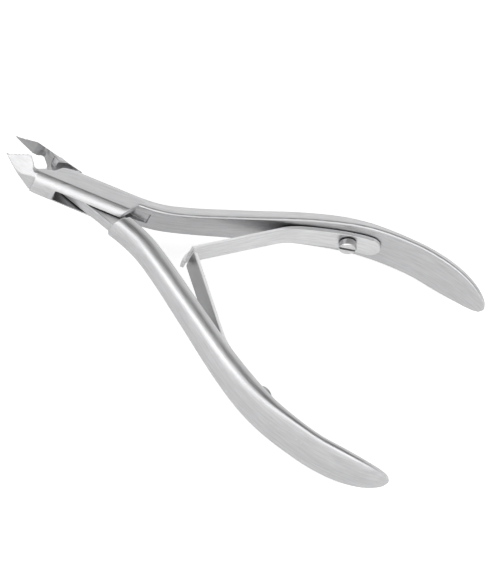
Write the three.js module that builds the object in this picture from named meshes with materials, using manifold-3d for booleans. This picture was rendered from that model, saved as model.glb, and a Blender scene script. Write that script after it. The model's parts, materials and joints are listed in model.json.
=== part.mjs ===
// Cuticle nipper with a box joint, in millimetres, arms open, lying flat on its handles.
// +X runs from the jaws to the handles, +Y towards the outer arm's handle, +Z along the pivot pin.
// Shapes are worked out from the pivot axis; the whole group is then moved so that the origin
// is at the middle of the bounding box's underside.
import * as THREE from "three";
import { mergeVertices } from "three/addons/utils/BufferGeometryUtils.js";
import Module from "manifold-3d";

const wasm = await Module();
wasm.setup();

// ---- driving dimensions -------------------------------------------------------------------
const JAW_REACH = 18.2; // pivot axis to jaw tips
const HANDLE_REACH = 82; // pivot axis to handle ends
const HANDLE_SPREAD = 27.85; // centre line to a handle's inner face at its widest
const CLOSING_TURN = 15; // degrees between the arms, open to shut
const EDGE_GAP_SHUT = 0.12; // between the cutting edges when shut

const BOX_RADIUS = 3.72; // round sides of the joint
const BOX_HALF_HEIGHT = 3.3; // joint's flats above and below the middle plane
const BOX_TURN = 9.5; // degrees, the joint's own axis against the centre line
const BOX_FRONT = 11; // joint bar ahead of the pivot
const BOX_END = 8.5; // closing stop of the outer arm, from the pivot axis
const STOP_CLEARANCE = 0.35; // left at the closing stop when shut
const JAW_ROOT = 1.8; // jaw's overlap into the bar
const JAW_STEP = 5.0; // step behind the inner arm's jaw, from the pivot axis
const TONGUE_HALF_HEIGHT = 1.2; // half thickness of the tongue inside the slot
const SLOT_CLEARANCE = 0.25; // above and below the tongue
const PIN_RADIUS = 1.5;
const PIN_CLEARANCE = 0.08;
const PIN_RECESS = 0.05; // pin ends under the flats

const EDGE_LENGTH = 4.8; // cutting edge along X
const TIP_HEIGHT = 2.2; // jaw tip above the middle plane
const HEEL_HEIGHT = 4.9; // rear end of the cutting edge above the middle plane
const JAW_SIDE = 4.75; // outer side of a jaw from the centre line

const HANDLE_HALF_WIDTH = 5.0; // at the widest, near the end
const HANDLE_BEVEL = 0.3; // along the inner face's long edges
const HANDLE_EDGE = 0.65; // bevel and flat strip together, from the inner face outwards
const HANDLE_CROWN = 2.75; // rise of the rounded outer face over the strips, root to middle
const HANDLE_CROWN_END = 1.5; // the same near the end
const HANDLE_SQUARENESS = 2.4; // 2 is an ellipse, more is squarer
const HANDLE_ROUND = 13; // length of the rounded end

const LEAF_THICKNESS = 0.8;
const LEAF_HALF_WIDTH = 2.55;
const LEAF_FIXED_END = 57.4; // X of the screwed end
const LEAF_LIFT = 41.5; // X where the leaf leaves the handle
const LEAF_BEND = 5; // length of the bend after the lift
const LEAF_MEET_X = 24.6; // where the middle lines of the two leaves cross
const LEAF_MEET_Y = 0.1;
const LEAF_UNDERLAP = 0.8; // lower leaf stops short of the crossing, under the upper leaf
const SEAT_GAP = 0.25; // between faces that rest on each other
const TAB_HALF_WIDTH = 0.95;
const TAB_DROP = 2.6; // below the crossing
const TAB_OFFSET_Z = -0.6;

const SCREW_X = 50.7;
const SCREW_HEAD_RADIUS = 1.85;
const SCREW_HEAD_HEIGHT = 1.5;
const SCREW_SHANK_RADIUS = 1.0;
const SCREW_DEPTH = 1.9; // into the handle
const SCREW_CLEARANCE = 0.12;
const SCREW_SLOT_WIDTH = 0.6;
const SCREW_SLOT_DEPTH = 0.6;

// ---- worked out from the driving dimensions -----------------------------------------------
const RAD = Math.PI / 180;
const TALL = 30; // taller than anything that a cut passes through
const FAR = 2 * (HANDLE_REACH + JAW_REACH); // longer than the whole nipper
const HALF_TURN = (CLOSING_TURN / 2) * RAD;
const edgeY = (reach) => reach * Math.tan(HALF_TURN) + EDGE_GAP_SHUT / 2;
const heelX = -(JAW_REACH - EDGE_LENGTH);

const v3 = (x, y, z) => new THREE.Vector3(x, y, z);
const mix = (a, b, t) => a + (b - a) * t;

function smooth(from, to, x) {
  const t = Math.min(1, Math.max(0, (x - from) / (to - from)));
  return t * t * (3 - 2 * t);
}

// ---- closed meshes and solids -------------------------------------------------------------
function toSolid(geometry) {
  const bare = geometry.index ? geometry.toNonIndexed() : geometry.clone();
  for (const name of Object.keys(bare.attributes)) {
    if (name !== "position") bare.deleteAttribute(name);
  }
  const merged = mergeVertices(bare, 1e-5);
  const index = [];
  for (let i = 0; i < merged.index.count; i += 3) {
    const [a, b, c] = [0, 1, 2].map((k) => merged.index.getX(i + k));
    if (a !== b && b !== c && c !== a) index.push(a, b, c);
  }
  const mesh = new wasm.Mesh({
    numProp: 3,
    vertProperties: new Float32Array(merged.attributes.position.array),
    triVerts: new Uint32Array(index),
  });
  return new wasm.Manifold(mesh);
}

function toGeometry(solid) {
  const mesh = solid.getMesh();
  const geometry = new THREE.BufferGeometry();
  geometry.setAttribute("position", new THREE.BufferAttribute(mesh.vertProperties, 3));
  geometry.setIndex(new THREE.BufferAttribute(mesh.triVerts, 1));
  return geometry;
}

// Skin over rings of equal count, with a fan over each end.
function loft(rings) {
  const count = rings[0].length;
  const points = rings.flat();
  const index = [];
  for (let r = 0; r + 1 < rings.length; r++) {
    for (let k = 0; k < count; k++) {
      const a = r * count + k;
      const b = r * count + ((k + 1) % count);
      index.push(a, b, b + count, a, b + count, a + count);
    }
  }
  for (const [ring, offset, flip] of [
    [rings[0], 0, true],
    [rings[rings.length - 1], (rings.length - 1) * count, false],
  ]) {
    const centre = ring.reduce((sum, p) => sum.add(p), v3(0, 0, 0)).divideScalar(count);
    points.push(centre);
    for (let k = 0; k < count; k++) {
      const pair = [offset + k, offset + ((k + 1) % count)];
      if (flip) pair.reverse();
      index.push(...pair, points.length - 1);
    }
  }
  let volume = 0;
  for (let i = 0; i < index.length; i += 3) {
    const [a, b, c] = [0, 1, 2].map((k) => points[index[i + k]]);
    volume += a.dot(b.clone().cross(c));
  }
  if (volume < 0) index.reverse();
  const geometry = new THREE.BufferGeometry().setFromPoints(points);
  geometry.setIndex(index);
  return toSolid(geometry);
}

// A plan outline, drawn in X and Y, as a prism between two heights.
function prism(outline, low, high) {
  const shape = new THREE.Shape(outline.map(([x, y]) => new THREE.Vector2(x, y)));
  const geometry = new THREE.ExtrudeGeometry(shape, { depth: high - low, bevelEnabled: false });
  geometry.translate(0, 0, low);
  return toSolid(geometry);
}

// Everything beyond a plane that stands square to X-Y, at a distance along a direction.
function beyond(turn, distance) {
  const block = new THREE.BoxGeometry(FAR, FAR, TALL);
  block.translate(distance + FAR / 2, 0, 0);
  block.rotateZ(turn * RAD);
  return toSolid(block);
}

// Everything beyond a plane through a point, along the plane's normal.
function past(point, normal) {
  const block = new THREE.BoxGeometry(FAR, FAR, FAR);
  block.translate(0, 0, FAR / 2);
  block.applyQuaternion(new THREE.Quaternion().setFromUnitVectors(v3(0, 0, 1), normal.normalize()));
  block.translate(point.x, point.y, point.z);
  return toSolid(block);
}

function cylinder(radius, from, to, segments) {
  const geometry = new THREE.CylinderGeometry(radius, radius, to - from, segments);
  geometry.rotateX(Math.PI / 2);
  geometry.translate(0, 0, (from + to) / 2);
  return geometry;
}

const mirrored = (outline) => outline.map(([x, y]) => [x, -y]).reverse();

// ---- handles --------------------------------------------------------------------------------
// Inner face in plan: shares of the reach and of the spread.
const HANDLE_LINE = [
  [0.061, 0.032],
  [0.134, 0.069],
  [0.195, 0.125],
  [0.256, 0.221],
  [0.38, 0.456],
  [0.535, 0.748],
  [0.659, 0.922],
  [0.782, 0.998],
  [0.85, 1],
  [0.937, 0.972],
  [1, 0.924],
].map(([x, y]) => v3(x * HANDLE_REACH, y * HANDLE_SPREAD, 0));
const handleCurve = new THREE.CatmullRomCurve3(HANDLE_LINE, false, "centripetal");
const SIDE_POINTS = 24;
const HANDLE_STEPS = 90;

// Place on the inner face at a distance X, with the outward direction.
function innerFace(x) {
  let low = 0;
  let high = 1;
  for (let i = 0; i < 40; i++) {
    const middle = (low + high) / 2;
    if (handleCurve.getPoint(middle).x < x) low = middle;
    else high = middle;
  }
  const point = handleCurve.getPoint(low);
  const along = handleCurve.getTangent(low);
  return { point, along, out: v3(-along.y, along.x, 0) };
}

function handleHalfWidth(x) {
  const grown = mix(BOX_HALF_HEIGHT, HANDLE_HALF_WIDTH, smooth(0.2, 0.73, x / HANDLE_REACH));
  const past = Math.max(0, (x - (HANDLE_REACH - HANDLE_ROUND)) / HANDLE_ROUND);
  return { grown, round: Math.sqrt(Math.max(0, 1 - past * past)) };
}

function handle() {
  const start = HANDLE_LINE[0].x;
  const rings = [];
  for (let i = 0; i <= HANDLE_STEPS; i++) {
    const share = i / HANDLE_STEPS;
    const x = mix(start, HANDLE_REACH - 0.02, 1 - (1 - share) * (1 - share * 0.35));
    const { grown, round } = handleHalfWidth(x);
    const half = grown * Math.max(round, 0.04);
    const fade = smooth(0.56, 0.78, x / HANDLE_REACH);
    const rounding = mix(0.35, 1, Math.sqrt(round));
    const strip = HANDLE_EDGE * rounding;
    const crown = mix(HANDLE_CROWN, HANDLE_CROWN_END, fade) * rounding * Math.max(round, 0.04);
    const { point, out } = innerFace(x);
    const at = (depth, z) => point.clone().addScaledVector(out, depth).setZ(z);
    const bevel = HANDLE_BEVEL * rounding * Math.max(round, 0.04);
    const ring = [at(bevel, -half), at(0, bevel - half), at(0, half - bevel), at(bevel, half)];
    for (let k = 0; k <= SIDE_POINTS; k++) {
      const turn = (k / SIDE_POINTS) * Math.PI;
      const rise = Math.sin(turn) ** (2 / HANDLE_SQUARENESS);
      const across = Math.sign(Math.cos(turn)) * Math.abs(Math.cos(turn)) ** (2 / HANDLE_SQUARENESS);
      ring.push(at(strip + crown * rise, half * across));
    }
    rings.push(ring);
  }
  return loft(rings);
}

// ---- joint bar and jaw head -----------------------------------------------------------------
// Bar of the joint: a round bar with a flat above and below, its axis turned from the centre line.
const ROUND_POINTS = 24;

function jointBar(to) {
  const flat = Math.sqrt(BOX_RADIUS ** 2 - BOX_HALF_HEIGHT ** 2);
  const from = Math.atan2(BOX_HALF_HEIGHT, flat);
  const section = [];
  for (const side of [0, Math.PI]) {
    for (let k = 0; k <= ROUND_POINTS; k++) {
      const angle = side + mix(-from, from, k / ROUND_POINTS);
      section.push([BOX_RADIUS * Math.cos(angle), BOX_RADIUS * Math.sin(angle)]);
    }
  }
  const turn = BOX_TURN * RAD;
  const ringAt = (u) =>
    section.map(([across, z]) =>
      v3(u * Math.cos(turn) - across * Math.sin(turn), u * Math.sin(turn) + across * Math.cos(turn), z)
    );
  return loft([ringAt(-BOX_FRONT), ringAt(to)]);
}

// Jaw on the -Y side. Each station runs: cutting edge or top, top outside, bevel's lower corner,
// outer bottom, inner bottom, hollow of the inner face. Distances out from the centre line.
function jaw() {
  const rise = (HEEL_HEIGHT - TIP_HEIGHT) / EDGE_LENGTH;
  const edge = (x) => [edgeY(-x), TIP_HEIGHT + (x + JAW_REACH) * rise];
  const station = (x, top, bevel, bottom, inner, shoulder) => {
    const hollow = [mix(top[0], inner[0], 0.55) + 0.25, mix(top[1], inner[1], 0.55)];
    const ridge = shoulder ?? [mix(top[0], bevel[0], 0.35), mix(top[1], bevel[1], 0.35)];
    return [top, ridge, bevel, bottom, inner, hollow].map(([out, z]) => v3(x, -out, z));
  };
  const tip = edge(-JAW_REACH);
  const tiny = 0.06;
  const outTip = tip[0] + tiny;
  const tipX = -JAW_REACH;
  const x1 = tipX + 1.5;
  const x2 = tipX + 3.2;
  const x3 = heelX;
  const neck = (share) => mix(heelX, -(BOX_FRONT - JAW_ROOT), share);
  const s = JAW_SIDE;
  const flat = BOX_HALF_HEIGHT;
  return loft([
    station(tipX, tip, [outTip, tip[1] - tiny], [outTip, tip[1] - 2 * tiny], [tip[0], tip[1] - tiny]),
    station(x1, edge(x1), [s - 1.45, 1.75], [s - 1.5, 1.5], [2.35, 1.5]),
    station(x2, edge(x2), [s - 0.5, 1.3], [s - 0.6, 0.9], [2.15, 1.1]),
    station(x3, edge(x3), [s, 1.35], [s, 0.3], [1.9, 0.8]),
    station(neck(0.26), [2.7, 4.4], [s, 1.8], [s, -0.5], [2.1, 0.7]),
    station(neck(0.405), [3.05, 3.55], [s, 2.1], [s, -1.0], [2.5, 0.85], [3.7, 3.45]),
    station(neck(0.57), [3.0, flat], [s, 2.4], [s, -1.5], [2.6, 0.7], [4.1, 3.1]),
    station(neck(1), [1.6, flat], [s - 0.6, 2.1], [s - 0.2, -2.2], [1.5, -0.5], [3.0, flat]),
  ]);
}

// Scoop between the jaws and the corner that makes room for the other arm's jaw.
const SCOOP = new THREE.SplineCurve(
  [
    [-14, -3.05],
    [-10.6, -2.85],
    [-9.6, -2.3],
    [-8.7, -1.65],
    [-7.8, -1.15],
    [-7.2, -0.3],
    [-6.6, 0.55],
  ].map(([x, y]) => new THREE.Vector2(x, y))
);
const THROAT = [[-14, 9], ...SCOOP.getPoints(36).map((p) => [p.x, p.y]), [-2.5, 3.6], [-2.5, 9]];

// Chamfer under the front of the bar, running down from the jaw to the joint.
function frontChamfer() {
  const block = new THREE.BoxGeometry(TALL, TALL, TALL);
  block.translate(0, 0, -TALL / 2);
  block.rotateX(32 * RAD);
  block.rotateY(30 * RAD);
  block.translate(-9.6, -3.4, -1.0);
  return toSolid(block).subtract(beyond(0, -6.2));
}

function armBlank() {
  const bar = jointBar(BOX_END + 4);
  const front = bar.subtract(prism(THROAT, -TALL, TALL)).subtract(frontChamfer());
  return front.add(jaw());
}

const flipped = (solid) => solid.mirror([0, 1, 0]);

// ---- outer arm: slotted box, lower jaw, upper handle ----------------------------------------
// Room for the tongue through the whole turn.
const SLOT = [
  [-5.5, -9],
  [-5.5, -3.2],
  [-6.6, -2.95],
  [-8.2, -2.45],
  [-9.6, -1.6],
  [-10.2, 0],
  [-10.2, 9],
  [3, 9],
  [3, 3.45],
  [10.4, 2.75],
  [13.4, 3.0],
  [13.9, 2.4],
  [13.9, -9],
];
const STOP_TURN = -27; // degrees, the way the outer arm's closing stop faces

const pinHole = toSolid(cylinder(PIN_RADIUS + PIN_CLEARANCE, -TALL, TALL, 64));

function screwHole(side) {
  const reach = SCREW_SHANK_RADIUS + SCREW_CLEARANCE;
  const hole = cylinder(reach, -SCREW_DEPTH - SEAT_GAP, SCREW_HEAD_HEIGHT, 40);
  hole.applyMatrix4(screwPlace(side));
  return toSolid(hole);
}

function outerArm() {
  const slotHalf = TONGUE_HALF_HEIGHT + SLOT_CLEARANCE;
  return armBlank()
    .subtract(beyond(STOP_TURN, BOX_END))
    .add(handle())
    .subtract(prism(SLOT, -slotHalf, slotHalf))
    .subtract(pinHole)
    .subtract(screwHole(1));
}

// ---- inner arm: upper jaw, tongue, lower handle ----------------------------------------------
const TONGUE = [
  [-10, 3.4],
  [-9.6, 2.1],
  [-8.9, 0.95],
  [-8, 0],
  [-6.8, -0.85],
  [-5.5, -1.4],
  [-3.3, -2.15],
  [0, -2.86],
  [4.7, -3.7],
  [7.2, -4.25],
  [9.4, -4.7],
  [12, -3.4],
  [11.6, -2.3],
  [10.1, -1.1],
  [4, 2],
  [0, 2.9],
  [-3.3, 3.55],
  [-4.7, 3.8],
  [-8, 4.5],
];
const STEP_TURN = 119; // degrees, the way to the step behind the jaw

// Ground facet over the head's upper outer corner, from the heel down to the step.
const HEAD_CORNER = { x: -9.84, y: 3.46, z: 2.4 };
const headFacet = past(v3(HEAD_CORNER.x, HEAD_CORNER.y, HEAD_CORNER.z), v3(0.08, 0.77, 0.64));

function innerArm() {
  const head = flipped(armBlank()).intersect(beyond(STEP_TURN, JAW_STEP)).subtract(headFacet);
  const root = flipped(handle()).intersect(beyond(STOP_TURN - CLOSING_TURN, BOX_END + STOP_CLEARANCE));
  return head
    .add(prism(TONGUE, -TONGUE_HALF_HEIGHT, TONGUE_HALF_HEIGHT))
    .add(root)
    .subtract(pinHole)
    .subtract(screwHole(-1));
}

// ---- leaf springs ------------------------------------------------------------------------------
// Middle line of a leaf on the +Y side, from its screwed end to the crossing.
function leafLine() {
  const line = [];
  const seat = SEAT_GAP + LEAF_THICKNESS / 2;
  for (let i = 0; i <= 8; i++) {
    const { point, out } = innerFace(mix(LEAF_FIXED_END, LEAF_LIFT, i / 8));
    line.push(point.addScaledVector(out, -seat));
  }
  const last = line[line.length - 1];
  const before = line[line.length - 2];
  const meet = v3(LEAF_MEET_X, LEAF_MEET_Y, 0);
  const bend = last.clone().add(last.clone().sub(before).setLength(LEAF_BEND / 2));
  const way = meet.clone().sub(bend).normalize();
  const curve = new THREE.QuadraticBezierCurve3(last, bend, bend.clone().addScaledVector(way, LEAF_BEND / 2));
  line.push(...curve.getPoints(10).slice(1));
  return { line, meet, way };
}

// Strip of constant thickness along a line in X-Y, with a half width and middle height per point.
function strip(points, sizes) {
  const rings = points.map((p, i) => {
    const a = points[Math.max(0, i - 1)];
    const b = points[Math.min(points.length - 1, i + 1)];
    const along = b.clone().sub(a).normalize();
    const out = v3(-along.y, along.x, 0);
    const { half, middle } = sizes[i];
    const corner = (side, up) =>
      p.clone().addScaledVector(out, (side * LEAF_THICKNESS) / 2).setZ(middle + up * half);
    return [corner(-1, -1), corner(1, -1), corner(1, 1), corner(-1, 1)];
  });
  return loft(rings);
}

function roundedEnd(points) {
  return points.map((p) => {
    const done = p.distanceTo(points[0]) / LEAF_HALF_WIDTH;
    const share = done >= 1 ? 1 : Math.sqrt(Math.max(0.02, 1 - (1 - done) ** 2));
    return { half: LEAF_HALF_WIDTH * share, middle: 0 };
  });
}

function withRoundStart(line) {
  const direction = line[1].clone().sub(line[0]).normalize();
  const extra = [0.03, 0.14, 0.4, 0.8, 1.4].map((d) => line[0].clone().addScaledVector(direction, d));
  return [line[0], ...extra, ...line.slice(1)];
}

function screwPlace(side) {
  const { point, along, out } = innerFace(SCREW_X);
  const place = new THREE.Matrix4().makeBasis(
    v3(along.x, side * along.y, 0),
    v3(0, 0, side),
    v3(-out.x, -side * out.y, 0)
  );
  return place.setPosition(point.x, side * point.y, 0);
}

// Upper leaf: its end laps over the lower leaf's end and a narrow tab curls down behind it.
function upperLeaf() {
  const { line, meet, way } = leafLine();
  const points = withRoundStart(line);
  const sizes = roundedEnd(points);
  const tab = { half: TAB_HALF_WIDTH, middle: TAB_OFFSET_Z };
  const wide = { half: LEAF_HALF_WIDTH, middle: 0 };
  const end = meet.clone().addScaledVector(way, LEAF_THICKNESS / 2);
  points.push(end);
  sizes.push(wide);
  points.push(end.clone().addScaledVector(way, 0.02));
  sizes.push(tab);
  const tip = v3(end.x - 0.1, end.y - TAB_DROP, 0);
  const curl = new THREE.QuadraticBezierCurve3(end, end.clone().addScaledVector(way, TAB_DROP / 3), tip);
  for (const p of curl.getPoints(6).slice(1)) {
    points.push(p);
    sizes.push(tab);
  }
  return strip(points, sizes).subtract(screwHole(1));
}

function lowerLeaf() {
  const { line, meet, way } = leafLine();
  const points = withRoundStart(line);
  const sizes = roundedEnd(points);
  points.push(meet.clone().addScaledVector(way, -LEAF_UNDERLAP - 0.3));
  sizes.push({ half: LEAF_HALF_WIDTH, middle: 0 });
  points.push(meet.clone().addScaledVector(way, -LEAF_UNDERLAP));
  sizes.push({ half: LEAF_HALF_WIDTH - 0.3, middle: 0 });
  return flipped(strip(points, sizes)).subtract(screwHole(-1));
}

// ---- pin and screws -------------------------------------------------------------------------------
function pivotPin() {
  const end = BOX_HALF_HEIGHT - PIN_RECESS;
  return toSolid(cylinder(PIN_RADIUS, -end, end, 64));
}

function screw(side) {
  const base = 2 * SEAT_GAP + LEAF_THICKNESS;
  const r = SCREW_HEAD_RADIUS;
  const top = base + SCREW_HEAD_HEIGHT;
  const profile = [
    [0, -SCREW_DEPTH],
    [SCREW_SHANK_RADIUS, -SCREW_DEPTH],
    [SCREW_SHANK_RADIUS, base],
    [r, base],
    [r, top - 0.25],
    [r - 0.25, top],
    [0, top],
  ].map(([x, y]) => new THREE.Vector2(x, y));
  const turned = new THREE.LatheGeometry(profile, 64);
  turned.rotateX(Math.PI / 2);
  const slot = new THREE.BoxGeometry(3 * r, SCREW_SLOT_WIDTH, 2 * SCREW_SLOT_DEPTH);
  slot.translate(0, 0, top);
  const place = screwPlace(side);
  turned.applyMatrix4(place);
  slot.applyMatrix4(place);
  return toSolid(turned).subtract(toSolid(slot));
}

// ---- the assembly ------------------------------------------------------------------------------------
const SATIN = { color: 0xc4c4c6, roughness: 0.34, metalness: 1 };
const POLISHED = { color: 0xd2d2d4, roughness: 0.22, metalness: 1 };
const SPRING = { color: 0xbcbcbf, roughness: 0.3, metalness: 1 };

const pieces = [
  ["outer_arm", outerArm(), SATIN],
  ["inner_arm", innerArm(), SATIN],
  ["pivot_pin", pivotPin(), POLISHED],
  ["upper_leaf_spring", upperLeaf(), SPRING],
  ["lower_leaf_spring", lowerLeaf(), SPRING],
  ["upper_spring_screw", screw(1), POLISHED],
  ["lower_spring_screw", screw(-1), POLISHED],
];

const nipper = new THREE.Group();
for (const [name, solid, finish] of pieces) {
  const mesh = new THREE.Mesh(toGeometry(solid), new THREE.MeshStandardMaterial(finish));
  mesh.name = name;
  mesh.position.set(-(HANDLE_REACH - JAW_REACH) / 2, 0, HANDLE_HALF_WIDTH);
  nipper.add(mesh);
}

export default nipper;
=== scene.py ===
import json
import math

import bmesh
import bpy
import numpy as np
from mathutils import Matrix, Vector


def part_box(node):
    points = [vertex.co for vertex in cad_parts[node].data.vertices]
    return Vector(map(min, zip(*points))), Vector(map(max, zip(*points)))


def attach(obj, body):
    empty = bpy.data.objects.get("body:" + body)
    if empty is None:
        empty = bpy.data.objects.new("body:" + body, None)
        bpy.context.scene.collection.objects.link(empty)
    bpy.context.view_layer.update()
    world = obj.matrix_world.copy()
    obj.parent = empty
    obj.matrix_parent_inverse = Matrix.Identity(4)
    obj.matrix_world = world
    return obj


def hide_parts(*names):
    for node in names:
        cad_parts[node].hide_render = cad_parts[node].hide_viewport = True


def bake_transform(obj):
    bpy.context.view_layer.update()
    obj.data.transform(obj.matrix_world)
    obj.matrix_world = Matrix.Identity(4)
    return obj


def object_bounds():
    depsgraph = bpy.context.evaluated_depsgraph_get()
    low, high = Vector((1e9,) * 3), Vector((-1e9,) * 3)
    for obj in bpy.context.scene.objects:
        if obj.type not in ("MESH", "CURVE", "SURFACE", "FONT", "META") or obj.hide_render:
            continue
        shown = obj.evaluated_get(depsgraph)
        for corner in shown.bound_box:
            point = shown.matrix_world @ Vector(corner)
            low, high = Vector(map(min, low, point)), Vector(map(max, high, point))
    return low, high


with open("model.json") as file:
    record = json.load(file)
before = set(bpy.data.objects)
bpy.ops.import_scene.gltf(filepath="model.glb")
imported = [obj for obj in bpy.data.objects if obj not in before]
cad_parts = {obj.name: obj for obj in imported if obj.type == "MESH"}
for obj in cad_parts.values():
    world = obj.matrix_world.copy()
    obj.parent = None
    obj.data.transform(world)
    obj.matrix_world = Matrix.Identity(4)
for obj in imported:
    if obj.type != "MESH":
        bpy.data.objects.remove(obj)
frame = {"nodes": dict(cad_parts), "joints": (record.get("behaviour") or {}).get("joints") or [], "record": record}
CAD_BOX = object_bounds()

MM = 0.001

# ---- where things are, from the frame --------------------------------------------------------
PIVOT = Vector(next(j for j in frame["joints"] if j["name"] == "pivot")["pos_m"])

# ---- camera: long lens, above and in front, turned so that the jaws point up and left ---------
ELEVATION = math.radians(50.3)
ROLL = math.radians(29.73)
LENS = 800.0
SENSOR = 36.0
FRAME_HEIGHT = 114.2 * MM  # height of the view at the pivot
AIM_RIGHT = 33.42 * MM  # from the pivot to the middle of the view
AIM_DOWN = 17.63 * MM


def make_camera():
    lift = Vector((0, math.sin(ELEVATION), math.cos(ELEVATION)))
    along = Vector((1, 0, 0))
    right = along * math.cos(ROLL) + lift * math.sin(ROLL)
    up = lift * math.cos(ROLL) - along * math.sin(ROLL)
    back = right.cross(up)
    data = bpy.data.cameras.new("camera")
    data.lens = LENS
    data.sensor_width = SENSOR
    data.clip_end = 20
    camera = bpy.data.objects.new("camera", data)
    bpy.context.scene.collection.objects.link(camera)
    place = PIVOT + right * AIM_RIGHT - up * AIM_DOWN + back * (FRAME_HEIGHT * LENS / SENSOR)
    camera.matrix_world = Matrix(
        (
            (right.x, up.x, back.x, place.x),
            (right.y, up.y, back.y, place.y),
            (right.z, up.z, back.z, place.z),
            (0, 0, 0, 1),
        )
    )
    bpy.context.scene.camera = camera


make_camera()


# ---- light and stage ---------------------------------------------------------------------------
FLOOR_COLOUR = 0.8
FLOOR_GLOW_SEEN = 0.66  # added for the camera, so that the floor shows as white
FLOOR_GLOW_GLOSS = 0.3  # added in reflections
HORIZON_LIGHT = 0.95  # radiance of the room near the floor
ZENITH_LIGHT = 0.15  # and overhead
FLOOR_HALF = 4.0
FLOOR_GAP = 0.05 * MM  # below the nipper
LIGHTS_AIM = Vector((0, 0, 0.01))
BRIGHT_UP_TO = math.sin(math.radians(33))
DARK_FROM = math.sin(math.radians(68))


def fresh(tree):
    tree.nodes.clear()
    return tree.nodes, tree.links


def area_light(name, place, size, radiance):
    """Rectangle of light facing the object. Radiance is what a mirror would show."""
    data = bpy.data.lights.new(name, "AREA")
    data.shape = "RECTANGLE"
    data.size, data.size_y = size
    data.energy = radiance * math.pi * size[0] * size[1]
    data.spread = math.pi
    lamp = bpy.data.objects.new(name, data)
    bpy.context.scene.collection.objects.link(lamp)
    lamp.location = place
    lamp.rotation_mode = "QUATERNION"
    lamp.rotation_quaternion = (LIGHTS_AIM - Vector(place)).to_track_quat("-Z", "Y")
    return lamp


def make_world():
    world = bpy.data.worlds.new("studio")
    bpy.context.scene.world = world
    world.use_nodes = True
    nodes, links = fresh(world.node_tree)
    output = nodes.new("ShaderNodeOutputWorld")
    light = nodes.new("ShaderNodeBackground")
    way = nodes.new("ShaderNodeTexCoord")
    height = nodes.new("ShaderNodeSeparateXYZ")
    fall = nodes.new("ShaderNodeMapRange")
    fall.interpolation_type = "SMOOTHSTEP"
    for socket, value in (
        ("From Min", BRIGHT_UP_TO),
        ("From Max", DARK_FROM),
        ("To Min", HORIZON_LIGHT),
        ("To Max", ZENITH_LIGHT),
    ):
        fall.inputs[socket].default_value = value
    links.new(way.outputs["Generated"], height.inputs[0])
    links.new(height.outputs["Z"], fall.inputs["Value"])
    links.new(fall.outputs["Result"], light.inputs["Strength"])
    shown = nodes.new("ShaderNodeBackground")
    for background in (light, shown):
        background.inputs["Color"].default_value = (1, 1, 1, 1)
    path = nodes.new("ShaderNodeLightPath")
    mix = nodes.new("ShaderNodeMixShader")
    links.new(path.outputs["Is Camera Ray"], mix.inputs[0])
    links.new(light.outputs[0], mix.inputs[1])
    links.new(shown.outputs[0], mix.inputs[2])
    links.new(mix.outputs[0], output.inputs["Surface"])


def make_floor():
    level = CAD_BOX[0].z - FLOOR_GAP
    turns = ((-1, -1), (1, -1), (1, 1), (-1, 1))
    corners = [(x * FLOOR_HALF, y * FLOOR_HALF, level) for x, y in turns]
    mesh = bpy.data.meshes.new("floor")
    mesh.from_pydata(corners, [], [(0, 1, 2, 3)])
    floor = bpy.data.objects.new("floor", mesh)
    bpy.context.scene.collection.objects.link(floor)
    material = bpy.data.materials.new("floor_white")
    material.use_nodes = True
    nodes, links = fresh(material.node_tree)
    output = nodes.new("ShaderNodeOutputMaterial")
    diffuse = nodes.new("ShaderNodeBsdfDiffuse")
    diffuse.inputs["Color"].default_value = (FLOOR_COLOUR, FLOOR_COLOUR, FLOOR_COLOUR, 1)
    path = nodes.new("ShaderNodeLightPath")
    last = diffuse
    for ray, strength in (("Is Camera Ray", FLOOR_GLOW_SEEN), ("Is Glossy Ray", FLOOR_GLOW_GLOSS)):
        glow = nodes.new("ShaderNodeEmission")
        amount = nodes.new("ShaderNodeMath")
        amount.operation = "MULTIPLY"
        amount.inputs[1].default_value = strength
        add = nodes.new("ShaderNodeAddShader")
        links.new(path.outputs[ray], amount.inputs[0])
        links.new(amount.outputs[0], glow.inputs["Strength"])
        links.new(last.outputs[0], add.inputs[0])
        links.new(glow.outputs[0], add.inputs[1])
        last = add
    links.new(last.outputs[0], output.inputs["Surface"])
    mesh.materials.append(material)


make_world()
make_floor()
area_light("front_box", (0.1, -0.88, 0.56), (1.5, 0.62), 0.93)
area_light("left_box", (-0.8, -0.55, 0.22), (0.5, 0.4), 1.5)
area_light("back_box", (0.0, 0.7, 0.95), (1.2, 0.7), 0.45)


# ---- fine meshes ---------------------------------------------------------------------------------
def baked(piece):
    """The piece with its modifiers turned into mesh."""
    graph = bpy.context.evaluated_depsgraph_get()
    mesh = bpy.data.meshes.new_from_object(piece.evaluated_get(graph))
    piece.modifiers.clear()
    piece.data = mesh
    for polygon in mesh.polygons:
        polygon.use_smooth = True
    return piece


def refined(name, node, voxel, rounding, closed_by=None):
    """A dense mesh over a node's shape, with its corners and edges rounded by a few voxels."""
    source = frame["nodes"][node]
    shape = source.data.copy()
    if closed_by:
        both = bmesh.new()
        both.from_mesh(shape)
        closed_by(both)
        both.to_mesh(shape)
        both.free()
        source = bpy.data.objects.new(name + "_shape", shape)
    piece = bpy.data.objects.new(name, shape.copy())
    bpy.context.scene.collection.objects.link(piece)
    remesh = piece.modifiers.new("even_grid", "REMESH")
    remesh.mode = "VOXEL"
    remesh.voxel_size = voxel
    wrap = piece.modifiers.new("onto_shape", "SHRINKWRAP")
    wrap.target = source
    wrap.wrap_method = "NEAREST_SURFACEPOINT"
    rounder = piece.modifiers.new("round_edges", "SMOOTH")
    rounder.factor = 0.5
    rounder.iterations = rounding
    baked(piece)
    if closed_by:
        bpy.data.objects.remove(source)
    return piece


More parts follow.
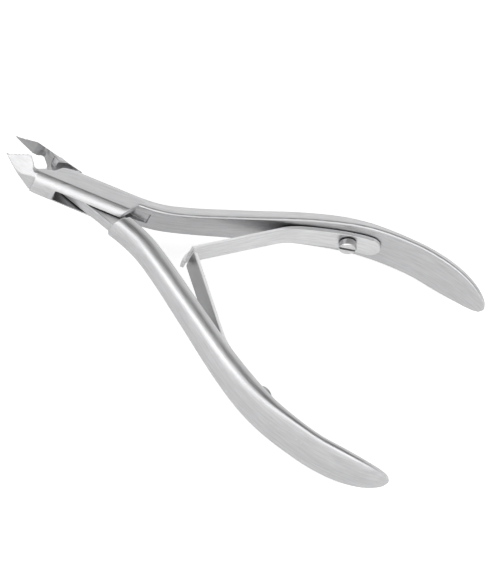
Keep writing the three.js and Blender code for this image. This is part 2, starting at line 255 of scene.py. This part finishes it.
MOUNTS = {m["name"]: Vector(m["pos_m"]) for m in frame["record"]["mounts"]}
PIN_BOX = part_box("pivot_pin")
PIN_RADIUS = (PIN_BOX[1].x - PIN_BOX[0].x) / 2
CAP_DEPTH = 0.5 * MM  # the pin's ends and the flats are ground as one face
CAP_OVERLAP = 0.3 * MM  # past the pin, over the gap around it


def add_pin_caps(mesh):
    for level, inward in ((MOUNTS["joint_flat_top"].z, -1), (MOUNTS["joint_flat_under"].z, 1)):
        middle = Vector((PIVOT.x, PIVOT.y, level + inward * CAP_DEPTH / 2))
        radius = PIN_RADIUS + CAP_OVERLAP
        bmesh.ops.create_cone(
            mesh,
            cap_ends=True,
            segments=64,
            radius1=radius,
            radius2=radius,
            depth=CAP_DEPTH,
            matrix=Matrix.Translation(middle),
        )


GRAIN_STEP = 1.0 * MM
SHADE_FROM = 0.3  # share of the normal that points to the handle, where the leaf's painted shade starts
# share of the normal at which the leaf's painted shade is full
SHADE_FULL = 0.75
SEATING = 0.15 * MM  # how far the leaf's underside is brought to its handle
SEAT_EASE = 4.0 * MM
JOINT_REACH = 13.0 * MM  # the slot lies within this of the pivot
SLOT_DEPTH = 1.9 * MM  # and within this of the middle plane
WALL_FROM = 0.6  # share of the normal that points up or down
WALL_EASE = 0.3
JAW_START = 8.0 * MM  # in front of the pivot
JAW_EASE = 1.5 * MM
JAW_FACING = 0.25
JAW_FACING_EASE = 0.4
# strength of the painted shade on the upper jaw's inner faces
JAW_SHADE = 0.8
# strength of the painted shade on the side of a screw's head
RIM_SHADE = 0.9
RIM_FACING = 0.8


def add_grain(piece):
    """Store, for each vertex, its place along the piece, across it and over its thickness."""
    mesh = piece.data
    points = np.empty(len(mesh.vertices) * 3)
    mesh.vertices.foreach_get("co", points)
    points = points.reshape(-1, 3)
    x = points[:, 0]
    bins = np.arange(x.min(), x.max() + GRAIN_STEP, GRAIN_STEP)
    which = np.clip(np.digitize(x, bins) - 1, 0, len(bins) - 1)
    total = np.bincount(which, minlength=len(bins))
    middle = np.bincount(which, weights=points[:, 1], minlength=len(bins)) / np.maximum(total, 1)
    filled = total > 0
    middle = np.interp(bins, bins[filled], middle[filled])
    kernel = np.ones(7) / 7
    middle = np.convolve(np.pad(middle, 3, mode="edge"), kernel, mode="valid")
    length = np.concatenate(([0], np.cumsum(np.hypot(np.diff(bins), np.diff(middle)))))
    slope = np.gradient(middle, bins)
    lean = np.interp(x, bins, slope)
    across = (points[:, 1] - np.interp(x, bins, middle)) / np.hypot(1, lean)
    along = np.interp(x, bins, length) + across * lean / np.hypot(1, lean)
    grain = mesh.attributes.new("grain", "FLOAT_VECTOR", "POINT")
    grain.data.foreach_set("vector", np.column_stack((along, across, points[:, 2])).ravel())


def vertex_arrays(mesh):
    places = np.empty(len(mesh.vertices) * 3)
    normals = np.empty(len(mesh.vertices) * 3)
    mesh.vertices.foreach_get("co", places)
    mesh.vertices.foreach_get("normal", normals)
    return places.reshape(-1, 3), normals.reshape(-1, 3)


def store_painted_shade(mesh, amount):
    """Store where painted shade darkens the steel."""
    painted_shade = mesh.attributes.new("painted_shade", "FLOAT", "POINT")
    painted_shade.data.foreach_set("value", amount)


def handle_side(normals, side):
    facing = side * normals[:, 1]
    return np.clip((facing - SHADE_FROM) / (SHADE_FULL - SHADE_FROM), 0, 1)


def seat_leaf(piece, side, seat_start):
    """Bring the leaf's underside down to its handle where it is screwed on."""
    places, normals = vertex_arrays(piece.data)
    under = handle_side(normals, side)
    seated = np.clip((places[:, 0] - seat_start) / SEAT_EASE, 0, 1)
    places[:, 1] += side * SEATING * under * seated
    piece.data.vertices.foreach_set("co", places.ravel())
    piece.data.update()
    # painted shade on the leaf's side that faces its handle
    store_painted_shade(piece.data, under)


def slot_shade(piece):
    """Painted shade on the walls of the joint's slot, where they lie in shadow."""
    places, normals = vertex_arrays(piece.data)
    near = np.abs(places[:, 0] - PIVOT.x) < JOINT_REACH
    within = np.abs(places[:, 2] - PIVOT.z) < SLOT_DEPTH
    wall = np.clip((np.abs(normals[:, 2]) - WALL_FROM) / WALL_EASE, 0, 1)
    return np.where(near & within, wall, 0)


def rim_shade(screw):
    """Painted shade on the side of a screw's head; its end face keeps the polished steel's own tone."""
    facing = np.abs(vertex_arrays(screw.data)[1][:, 1])
    return RIM_SHADE * np.clip((RIM_FACING - facing) / RIM_FACING * 2, 0, 1)


def jaw_shade(piece):
    """Painted shade on the faces of the upper jaw that look towards the lower one."""
    places, normals = vertex_arrays(piece.data)
    front = np.clip((PIVOT.x - JAW_START - places[:, 0]) / JAW_EASE, 0, 1)
    return JAW_SHADE * front * np.clip((JAW_FACING - normals[:, 1]) / JAW_FACING_EASE, 0, 1)


ARM_VOXEL = 0.13 * MM
LEAF_VOXEL = 0.1 * MM
SMALL_VOXEL = 0.06 * MM
ROUNDING = 3
outer = refined("outer_arm_fine", "outer_arm", ARM_VOXEL, ROUNDING, add_pin_caps)
inner = refined("inner_arm_fine", "inner_arm", ARM_VOXEL, ROUNDING)
upper_leaf = refined("upper_leaf_fine", "upper_leaf_spring", LEAF_VOXEL, ROUNDING)
lower_leaf = refined("lower_leaf_fine", "lower_leaf_spring", LEAF_VOXEL, ROUNDING)
upper_screw = refined("upper_screw_fine", "upper_spring_screw", SMALL_VOXEL, ROUNDING)
lower_screw = refined("lower_screw_fine", "lower_spring_screw", SMALL_VOXEL, ROUNDING)
pin = refined("pivot_pin_fine", "pivot_pin", SMALL_VOXEL, ROUNDING)

bends = {j["name"]: Vector(j["pos_m"]) for j in frame["joints"]}
for piece, node, body in (
    (outer, "outer_arm", "outer_arm"),
    (inner, "inner_arm", "inner_arm"),
    (upper_screw, "upper_spring_screw", "outer_arm"),
    (lower_screw, "lower_spring_screw", "inner_arm"),
    (pin, "pivot_pin", "outer_arm"),
):
    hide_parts(node)
    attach(piece, body)
for piece, node, arm, leaf, joint, side in (
    (upper_leaf, "upper_leaf_spring", "outer_arm", "upper_spring", "upper_spring_bend", 1),
    (lower_leaf, "lower_leaf_spring", "inner_arm", "lower_spring", "lower_spring_bend", -1),
):
    bend = bends[joint]
    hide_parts(node)
    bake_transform(piece)
    seat_leaf(piece, side, bend.x)
# painted shade on the screws' head sides, the slot walls and the jaw faces
for screw in (upper_screw, lower_screw):
    store_painted_shade(screw.data, rim_shade(screw))
store_painted_shade(outer.data, slot_shade(outer))
store_painted_shade(inner.data, jaw_shade(inner))
for piece in (outer, inner, upper_leaf, lower_leaf, upper_screw, lower_screw, pin):
    add_grain(piece)


# ---- materials -----------------------------------------------------------------------------------
CREVICE_REACH = 0.9 * MM  # how near a wall has to be for a gap to get painted shade
# colour of the painted shade
PAINTED_SHADE_COLOUR = (0.36, 0.36, 0.366, 1)
# colour of the painted shade in crevices
CREVICE_SHADE_COLOUR = (0.26, 0.26, 0.265, 1)
BLOTCH_COLOUR = (0.9, 0.9, 0.905, 1)
LINE_SCALE = (170, 2800, 2800)  # along, across and through the piece, per metre
BLOTCH_SCALE = (160, 420, 420)


def steel(name, colour, roughness, brush, brush_depth, edge_colour):
    """Brushed steel: fine lines along the piece, mild unevenness, brighter, smoother edges, painted shade from the
    stored mask and painted shade in crevices.
    """
    material = bpy.data.materials.new(name)
    material.use_nodes = True
    nodes, links = fresh(material.node_tree)
    output = nodes.new("ShaderNodeOutputMaterial")
    shader = nodes.new("ShaderNodeBsdfPrincipled")
    shader.inputs["Metallic"].default_value = 1.0
    links.new(shader.outputs[0], output.inputs["Surface"])

    def noise(scale, detail, rough=0.6):
        stretch = nodes.new("ShaderNodeVectorMath")
        stretch.operation = "MULTIPLY"
        stretch.inputs[1].default_value = scale
        links.new(grain.outputs["Vector"], stretch.inputs[0])
        texture = nodes.new("ShaderNodeTexNoise")
        texture.inputs["Scale"].default_value = 1.0
        texture.inputs["Detail"].default_value = detail
        texture.inputs["Roughness"].default_value = rough
        links.new(stretch.outputs[0], texture.inputs["Vector"])
        return texture.outputs["Fac"]

    def ranged(value, low, high, to_low, to_high):
        node = nodes.new("ShaderNodeMapRange")
        node.inputs["From Min"].default_value = low
        node.inputs["From Max"].default_value = high
        node.inputs["To Min"].default_value = to_low
        node.inputs["To Max"].default_value = to_high
        links.new(value, node.inputs["Value"])
        return node.outputs["Result"]

    def mixed(kind, factor, a, b):
        node = nodes.new("ShaderNodeMix")
        node.data_type = "RGBA"
        node.blend_type = kind
        if isinstance(factor, float):
            node.inputs["Factor"].default_value = factor
        else:
            links.new(factor, node.inputs["Factor"])
        for socket, value in ((node.inputs["A"], a), (node.inputs["B"], b)):
            if isinstance(value, tuple):
                socket.default_value = value
            else:
                links.new(value, socket)
        return node.outputs["Result"]

    grain = nodes.new("ShaderNodeAttribute")
    grain.attribute_type = "GEOMETRY"
    grain.attribute_name = "grain"
    lines = noise(LINE_SCALE, 5.0, 0.7)
    blotches = noise(BLOTCH_SCALE, 4.0)
    shape = nodes.new("ShaderNodeNewGeometry")
    edge = ranged(shape.outputs["Pointiness"], 0.55, 0.62, 0.0, 1.0)

    dark = tuple(c * 0.84 for c in colour) + (1,)
    light = tuple(min(1, c * 1.1) for c in colour) + (1,)
    tone = mixed("MIX", ranged(lines, 0.3, 0.7, 0.0, 1.0), dark, light)
    uneven = ranged(blotches, 0.3, 0.7, 0.0, 0.35)
    tone = mixed("MULTIPLY", uneven, tone, BLOTCH_COLOUR)
    # painted shade: the stored mask mixes in a darker colour
    painted_shade = nodes.new("ShaderNodeAttribute")
    painted_shade.attribute_type = "GEOMETRY"
    painted_shade.attribute_name = "painted_shade"
    tone = mixed("MIX", painted_shade.outputs["Fac"], tone, PAINTED_SHADE_COLOUR)
    tone = mixed("MIX", edge, tone, (*edge_colour, 1))
    # painted shade in crevices, from ambient occlusion
    crevice = nodes.new("ShaderNodeAmbientOcclusion")
    crevice.samples = 8
    crevice.inputs["Distance"].default_value = CREVICE_REACH
    crevice_shade = ranged(crevice.outputs["AO"], 0.15, 0.6, 1.0, 0.0)
    tone = mixed("MIX", crevice_shade, tone, CREVICE_SHADE_COLOUR)
    links.new(tone, shader.inputs["Base Color"])

    rough = nodes.new("ShaderNodeMath")
    rough.operation = "ADD"
    links.new(ranged(lines, 0.25, 0.75, roughness - brush, roughness + brush), rough.inputs[0])
    links.new(ranged(blotches, 0.3, 0.7, -0.03, 0.03), rough.inputs[1])
    worn = nodes.new("ShaderNodeMath")
    worn.operation = "SUBTRACT"
    links.new(rough.outputs[0], worn.inputs[0])
    links.new(ranged(edge, 0.0, 1.0, 0.0, 0.08), worn.inputs[1])
    links.new(worn.outputs[0], shader.inputs["Roughness"])

    bump = nodes.new("ShaderNodeBump")
    bump.inputs["Strength"].default_value = 1.0
    bump.inputs["Distance"].default_value = brush_depth
    links.new(lines, bump.inputs["Height"])
    links.new(bump.outputs["Normal"], shader.inputs["Normal"])
    return material


SATIN = steel("satin_steel", (0.68, 0.68, 0.688), 0.38, 0.07, 0.006 * MM, (0.8, 0.8, 0.805))
SPRING = steel("spring_steel", (0.88, 0.88, 0.886), 0.32, 0.05, 0.004 * MM, (0.88, 0.88, 0.885))
POLISHED = steel("polished_steel", (0.82, 0.82, 0.825), 0.3, 0.04, 0.002 * MM, (0.84, 0.84, 0.845))

for slot, material, group in (
    ("satin_steel", SATIN, (outer, inner)),
    ("spring_steel", SPRING, (upper_leaf, lower_leaf)),
    ("polished_steel", POLISHED, (upper_screw, lower_screw, pin)),
):
    for piece in group:
        piece.data.materials.clear()
        piece.data.materials.append(material)

bpy.context.scene.view_settings.view_transform = "Standard"
